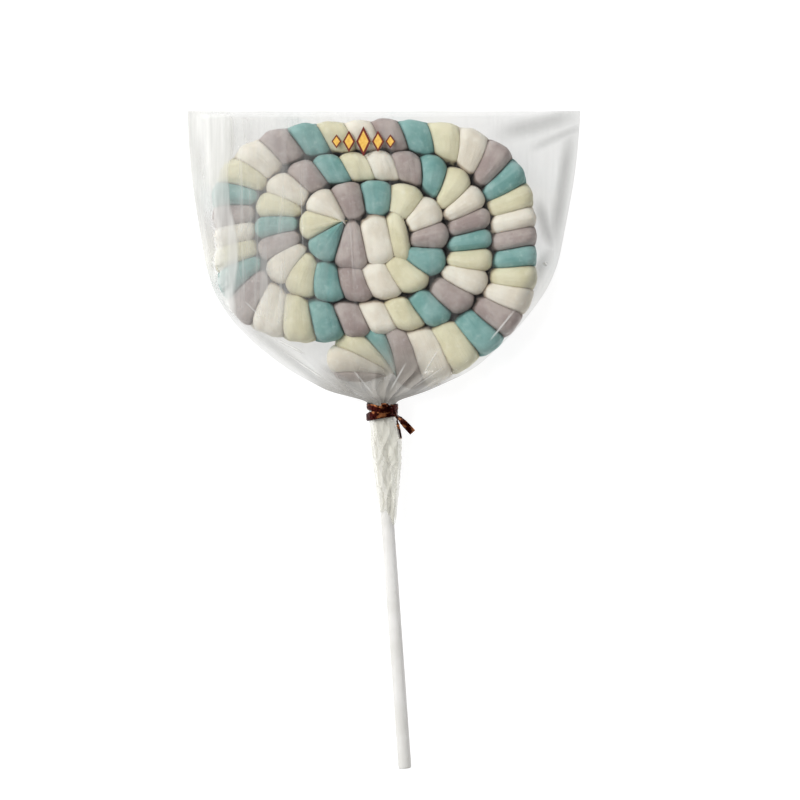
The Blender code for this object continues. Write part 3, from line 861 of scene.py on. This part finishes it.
def film_sheet(skin, side, columns):
    """Rows of points of one sheet of film: side is 1 for the front sheet and -1 for the back."""
    x, y, share = film_plan(columns)
    rope = HeightMap()
    rope.drop(skin * (1, 1, side) - np.array([0, 0, MIDDLE * side]))
    rope.widen()
    filling = rope.look_up(x, y)
    filling = np.where(filling > 0, filling + FILM_GAP, 0)
    neck = np.where(y <= NECK_TOP, neck_half(y) * np.sqrt(1 - share[None, :] ** 2), 0.0)
    obstacle = np.maximum(filling, neck)
    for edge in ((0, slice(None)), (slice(None), 0), (slice(None), -1)):
        obstacle[edge] = 0.0
    soft = drape(obstacle, x, y)
    tight = taut_film(rope, ridge_points() if side > 0 else [], x, y, neck)
    film = pleated(TAUTNESS * tight + (1 - TAUTNESS) * soft, obstacle, x, y, share)
    flat = smooth_step(-film, -6 * MM, -0.5 * MM) * smooth_step(y, 45 * MM, 90 * MM)
    wave = WING_WAVE * flat * (uneven(y, WING_ALONG) + uneven(x, WING_ACROSS))
    z = np.maximum(MIDDLE + side * film + wave, FLOOR_GAP)
    return np.stack([x, y, z], axis=-1)


def make_film(skin, finish):
    """Front and back sheet, fused along the hem and the side seams."""
    front = film_sheet(skin, 1, FRONT_COLUMNS)
    back = film_sheet(skin, -1, BACK_COLUMNS)
    new_piece("film_front", front.reshape(-1, 3),
              [face[::-1] for face in grid_faces(FILM_ROWS, FRONT_COLUMNS)], finish, "bag")
    make_print(front)
    new_piece("film_back", back.reshape(-1, 3), grid_faces(FILM_ROWS, BACK_COLUMNS),
              finish, "bag")


def printed_ink():
    """Slightly worn gold ink with a dark red rim."""
    n = new_material("printed_ink")
    rim_share = n.split(n.uv("rim"))["X"]
    worn = n.noise(n.place(), 900.0, 3.0, 0.6)
    gold = n.mix_colour(n.ramp(worn, 0.35, 0.7), (0.70, 0.40, 0.07), (0.80, 0.52, 0.13))
    tone = n.mix_colour(n.ramp(rim_share, 0.66, 0.74), gold, (0.15, 0.025, 0.02))
    return n.principled({"Base Color": tone, "Roughness": 0.45})


def make_print(front):
    """A plain row of lozenges printed on the film near the hem."""
    angle = np.linspace(0, math.tau, LOZENGE_SIDES, endpoint=False)
    rings = np.linspace(LEAST_RING, 1, LOZENGE_RINGS)
    vertices, faces, rims = [], [], []
    for x, half_width, half_height in np.array(LOZENGES) * MM:
        reach = 1 / (np.abs(np.cos(angle)) / half_width + np.abs(np.sin(angle)) / half_height)
        faces.extend(grid_faces(len(rings), LOZENGE_SIDES, closed=True, offset=len(vertices)))
        faces.append(tuple(range(len(vertices), len(vertices) + LOZENGE_SIDES))[::-1])
        for ring in rings:
            for px, py in zip(x + ring * reach * np.cos(angle), PRINT_Y + ring * reach * np.sin(angle)):
                row = (BAG_HIGH.y - py) / (BAG_HIGH.y - NECK_ROW) * (FILM_ROWS - 1)
                lift = np.interp(px, front[int(row), :, 0], front[int(row), :, 2]) + PRINT_GAP
                vertices.append((px, py, lift))
                rims.append((ring, 0.0))
    piece = new_piece("bag_print", vertices, [face[::-1] for face in faces], printed_ink(),
                      "bag")
    add_uv(piece, "rim", np.array(rims))


def make_skirt(finish, name, scale, seed):
    """Crumpled tube of gathered film from under the tie down to the bag's open end."""
    angle = np.linspace(0, math.tau, SKIRT_COLUMNS, endpoint=False)
    end = SKIRT_END + 2.0 * MM + 3.0 * MM * np.sin(angle + seed) + 1.6 * MM * np.sin(3 * angle + 2 * seed)
    down = np.linspace(0, 1, SKIRT_ROWS)[:, None]
    y = SKIRT_TOP + (end[None, :] - SKIRT_TOP) * down
    left, right = bag_edges(y.ravel())
    middle = ((left + right) / 2).reshape(y.shape)
    half = ((right - left) / 2).reshape(y.shape) * scale
    thick = neck_half(y) * scale
    freed = smooth_step(SKIRT_TOP - y, 3 * MM, 14 * MM)
    drift = 0.5 * wander(y, seed, 30 * MM)
    folds = pleat_wave(SKIRT_FOLDS * angle[None, :] / math.tau + drift)
    fine = pleat_wave(SKIRT_FINE_FOLDS * angle[None, :] / math.tau - 2 * drift)
    facing = 0.25 + 0.75 * np.abs(np.sin(angle))[None, :]
    swell = 1 + ((0.06 + 0.10 * freed) * folds + (0.03 + 0.03 * freed) * fine - 0.06) * facing
    crumple = wander(y, seed + 1, 9 * MM) * np.cos(2 * angle + seed)[None, :]
    swell = swell + 0.04 * freed * crumple
    x = middle + half * swell * np.cos(angle)[None, :]
    z = MIDDLE + thick * swell * np.sin(angle)[None, :]
    points = np.stack([x, y, z], axis=-1).reshape(-1, 3)
    new_piece(name, points, grid_faces(SKIRT_ROWS, SKIRT_COLUMNS, closed=True), finish, "bag")


# ------------------------ the stick

STICK_RADIUS = (STICK_HIGH.z - STICK_LOW.z) / 2
STICK_HIDDEN = 84.0 * MM  # how far the stick runs on inside the bag
STICK_RIM = 0.7 * MM  # rounding of its ends
STICK_SIDES, STICK_RINGS = 40, 90


def make_stick(finish):
    """A round stick with softened ends, from inside the bag to its lower end."""
    top = Vector((STICK_LOW.x + STICK_RADIUS, STICK_HIGH.y, MIDDLE))
    low = Vector((STICK_HIGH.x - STICK_RADIUS, STICK_LOW.y + 0.2 * MM, MIDDLE))
    axis = (low - top).normalized()
    start = top - axis * STICK_HIDDEN
    length = (low - start).length
    sideways, upward = Vector((-axis.y, axis.x, 0)), Vector(UPWARD)
    rounding = [(STICK_RIM * (1 - math.cos(a)), STICK_RIM * (1 - math.sin(a)))
                for a in np.linspace(0, math.pi / 2, 5)]
    stations = [(along, STICK_RADIUS - inward) for along, inward in rounding]
    stations += [(along, STICK_RADIUS)
                 for along in np.linspace(STICK_RIM, length - STICK_RIM, STICK_RINGS)[1:-1]]
    stations += [(length - along, STICK_RADIUS - inward) for along, inward in rounding[::-1]]
    angles = np.linspace(0, math.tau, STICK_SIDES, endpoint=False)
    vertices = [start + axis * along + sideways * radius * math.cos(angle)
                + upward * radius * math.sin(angle) for along, radius in stations for angle in angles]
    new_piece("stick_whole", vertices, tube_faces(len(stations), STICK_SIDES), finish,
              "stick")


# ------------------------ the twist tie

TIE_Y = 11.8 * MM
TIE_HALF = (6.3 * MM, 6.4 * MM)
FOIL_WIDTH, FOIL_THICKNESS = 2.9 * MM, 0.28 * MM
FOIL_COLUMNS = 9
FOIL_CRINKLE, FOIL_SAG = 0.20 * MM, 0.18 * MM
LOOP_STEPS, TAIL_STEPS = 150, 40
LOOP_START = 0.15  # radians
LOOPS = (  # how far out and how far up the neck each loop lies, and its tilt
    (0.0, -1.2 * MM, 1.0 * MM),
    (0.35 * MM, 1.5 * MM, -1.4 * MM),
    (0.7 * MM, 0.2 * MM, 2.2 * MM),
)
TAILS = (  # start, length, droop and width in millimetres, heading in degrees
    ((3.4, 13.2, 16.8), 13.4, 4.2, 2.9, -48.0),
    ((5.4, 11.0, 12.6), 10.6, 3.0, 1.5, -81.0),
    ((3.4, 14.4, 16.8), 4.6, -0.3, 2.6, 178.0),
)
TAIL_TWIST = 0.8  # half twists in each end


def foil_strip(path, normals, seed, width):
    """Closed flat strip with a crinkled face along a path."""
    heading = np.gradient(path, axis=0)
    heading /= np.linalg.norm(heading, axis=1)[:, None]
    sideways = np.cross(normals, heading)
    sideways /= np.linalg.norm(sideways, axis=1)[:, None]
    run = np.cumsum(np.linalg.norm(np.gradient(path, axis=0), axis=1))
    across = np.linspace(-1, 1, FOIL_COLUMNS)
    lines = []
    for side in (1, -1):
        for share in across[::side]:
            crinkle = wander(run + share * 0.6 * MM, seed + int(3 * share + 9), 1.5 * MM)
            out = FOIL_CRINKLE * crinkle - FOIL_SAG * share ** 2 + side * FOIL_THICKNESS / 2
            lines.append(path + sideways * share * width / 2 + normals * out[:, None])
    return np.stack(lines, axis=1)


def tie_loop(centre, out, rise, tilt):
    """Path once round the neck and the directions that it faces."""
    angle = np.linspace(LOOP_START, math.tau + LOOP_START, LOOP_STEPS)
    lift = out * (0.5 + 0.5 * np.sin(angle))
    path = np.stack([centre[0] + (TIE_HALF[0] + lift) * np.cos(angle),
                     centre[1] + rise + tilt * np.cos(angle - 0.2),
                     centre[2] + (TIE_HALF[1] + lift) * np.sin(angle)], axis=1)
    normals = np.stack([np.cos(angle) / TIE_HALF[0], 0 * angle, np.sin(angle) / TIE_HALF[1]], axis=1)
    return path, normals / np.linalg.norm(normals, axis=1)[:, None]


def tie_tail(start, length, droop, heading):
    """Path of a drooping end and the directions that it faces as it untwists."""
    share = np.linspace(0, 1, TAIL_STEPS)
    a = math.radians(heading)
    path = np.array(start) * MM + np.outer(share * length * MM, (math.cos(a), math.sin(a), 0))
    path[:, 2] -= droop * MM * share ** 1.6
    turn = TAIL_TWIST * math.pi * (1 - share) ** 2
    side = np.array([-math.sin(a), math.cos(a), 0])
    return path, np.cos(turn)[:, None] * np.array(UPWARD) + np.sin(turn)[:, None] * side


def make_tie(finish):
    """The foil strip, wound round the neck in loops, and its loose ends."""
    left, right = bag_edges(np.array([TIE_Y]))
    centre = ((left[0] + right[0]) / 2, TIE_Y, MIDDLE)
    strips = []
    for number, (out, rise, tilt) in enumerate(LOOPS):
        path, normals = tie_loop(centre, out, rise, tilt)
        strips.append(foil_strip(path, normals, 100 + 20 * number, FOIL_WIDTH))
    for number, (start, length, droop, width, heading) in enumerate(TAILS):
        path, normals = tie_tail(start, length, droop, heading)
        strips.append(foil_strip(path, normals, 200 + 20 * number, width * MM))
    vertices, faces = [], []
    for points in strips:
        faces.extend(tube_faces(*points.shape[:2], offset=len(vertices)))
        vertices.extend(points.reshape(-1, 3))
    new_piece("twist_tie_foil", vertices, faces, finish, "tie")


# ------------------------ stage

VIEW_WIDTH = 344.0 * MM  # what the camera takes in at the lollipop
VIEW_CENTRE = (6.9 * MM, 17.2 * MM)
CAMERA_HEIGHT = 1.25
SENSOR = 36.0
FLOOR_HALF, FLOOR_GLOW = 20.0, 0.84
LAMP_TARGET = (0, 0.06, 0.01)
LAMPS = (  # name, place, width and height, power, and whether only gloss shows it
    ("key", (-0.86, 0.60, 1.10), (0.9, 0.9), 25.5, False),
    ("fill", (1.1, -0.2, 0.95), (0.7, 1.1), 3.0, False),
    ("glint", (-0.80, 0.95, 1.15), (0.12, 0.50), 1.8, True),
)
ROOM_LIGHT = 0.33  # what the room adds to matt things


def make_stage():
    """A pale, even floor."""
    n = new_material("pale_floor")
    tone = n.mix_colour(n.noise(n.place(), 3.0), (0.29, 0.29, 0.29), (0.31, 0.31, 0.31))
    finish = n.principled({
        "Base Color": tone, "Roughness": 0.9, "Specular IOR Level": 0.1,
        "Emission Color": WHITE, "Emission Strength": FLOOR_GLOW})
    mesh = bpy.data.meshes.new("floor")
    corners = [(x * FLOOR_HALF, y * FLOOR_HALF, 0) for x, y in ((-1, -1), (1, -1), (1, 1), (-1, 1))]
    mesh.from_pydata(corners, [], [(0, 1, 2, 3)])
    mesh.materials.append(finish)
    floor = bpy.data.objects.new("floor", mesh)
    bpy.context.collection.objects.link(floor)


def area_light(name, place, size, power, mirrored):
    """A lamp that lights matt things, or one that only shows as a reflection in gloss."""
    data = bpy.data.lights.new(name, "AREA")
    data.shape = "RECTANGLE"
    data.size, data.size_y = size
    data.energy = power
    lamp = bpy.data.objects.new(name, data)
    lamp.location = place
    lamp.rotation_mode = "QUATERNION"
    lamp.rotation_quaternion = (Vector(LAMP_TARGET) - Vector(place)).to_track_quat("-Z", "Y")
    bpy.context.collection.objects.link(lamp)
    lamp.visible_glossy = mirrored
    lamp.visible_diffuse = not mirrored


def room_brightness(n):
    """What gloss reflects: a dim ceiling, paler walls and a bright wall on the left."""
    axes = n.split(n.add("TexCoord").outputs["Generated"])
    low = n.math("SUBTRACT", 1.0, axes["Z"], clamp=True)
    leftward = n.math("SUBTRACT", n.times(axes["X"], -1.0), 0.35, clamp=True)
    walls = n.times(n.times(low, low), 0.35)
    return n.math("ADD", n.math("ADD", walls, 0.2), n.times(leftward, 1.8))


def make_lights():
    """The lamps, and a room that is white to the camera and dimmer to everything else."""
    for lamp in LAMPS:
        area_light(*lamp)
    world = bpy.data.worlds.new("soft_room")
    bpy.context.scene.world = world
    n = Nodes(world, "OutputWorld")
    rays = n.add("LightPath").outputs
    seen, lit, mirrored = [
        n.add("Background", {"Color": WHITE, "Strength": strength}).outputs[0]
        for strength in (1.0, ROOM_LIGHT, room_brightness(n))]
    n.surface(n.mix_shader(rays["Is Camera Ray"],
                           n.mix_shader(rays["Is Glossy Ray"], lit, mirrored), seen))


def make_camera():
    """A camera that looks straight down on the shown side."""
    data = bpy.data.cameras.new("camera")
    data.sensor_width = SENSOR
    data.lens = SENSOR * (CAMERA_HEIGHT - MIDDLE) / VIEW_WIDTH
    data.clip_start, data.clip_end = 0.05, 60.0
    camera = bpy.data.objects.new("camera", data)
    camera.location = (*VIEW_CENTRE, CAMERA_HEIGHT)
    bpy.context.collection.objects.link(camera)
    bpy.context.scene.camera = camera


def main():
    skin = make_rope(Rope())
    # the main film's dark beige near the neck is partly gathered film and partly painted shade in its
    # pleats
    film = clear_film("clear_film", (0.878, 0.878, 0.873), 0.9, (0.60, 0.0),
                      (0.34, 0.32, 0.285), veiled=True)
    make_film(skin, film)
    gathered = clear_film("gathered_film", (0.985, 0.985, 0.975), 1.0, (0.34, 0.26),
                          (0.80, 0.785, 0.71))
    make_skirt(gathered, "film_skirt_outer", 1.0, 11)
    make_skirt(gathered, "film_skirt_inner", 0.78, 17)
    make_stick(white_plastic())
    make_tie(copper_foil())
    make_stage()
    make_lights()
    make_camera()
    scene = bpy.context.scene
    scene.view_settings.view_transform = "Standard"
    scene.cycles.transparent_max_bounces = 32


main()

bpy.context.view_layer.update()
